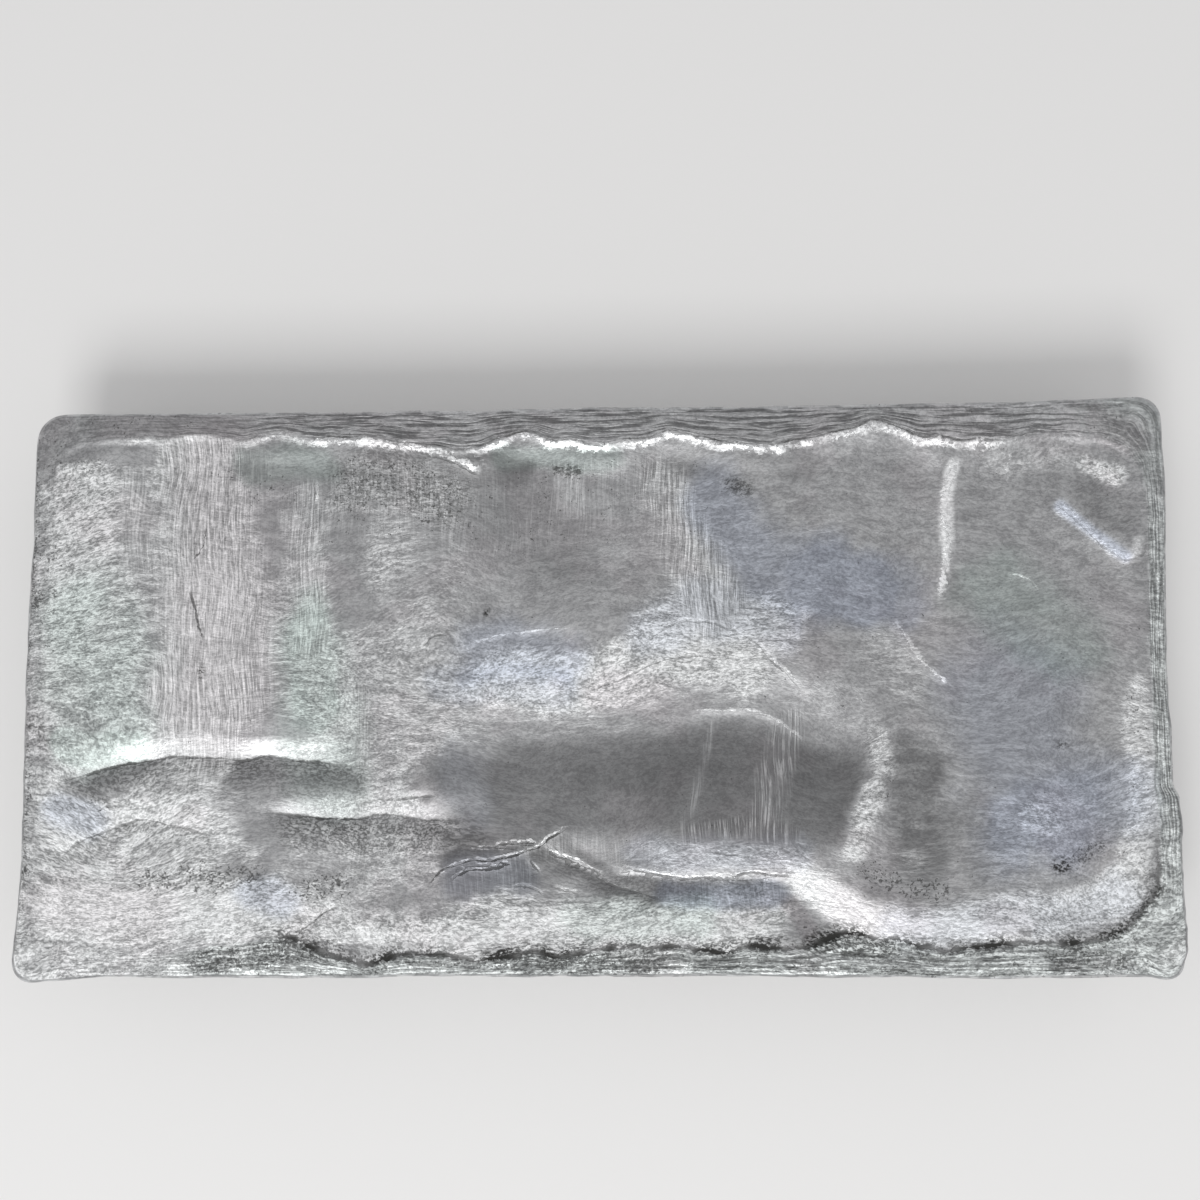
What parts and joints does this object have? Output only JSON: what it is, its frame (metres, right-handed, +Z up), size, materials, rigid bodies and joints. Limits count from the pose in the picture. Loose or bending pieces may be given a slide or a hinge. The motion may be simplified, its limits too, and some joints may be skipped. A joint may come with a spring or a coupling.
{
  "type": "metal ingot",
  "caption": "Open-cast slab ingot of soft white metal: leaning mould walls, flat base, raised rim with a wavy inner edge and a sunken, folded free-cast top.",
  "frame": {"origin": "middle of the flat base", "axes": "+X along the slab, +Y across it, +Z up to the free-cast top"},
  "size_m": [0.4321, 0.2142, 0.0441],
  "materials": {
    "cast_metal": "as cast, matt silver grey"
  },
  "bodies": {
    "root": {"ingot": "cast_metal"}
  },
  "joints": []
}
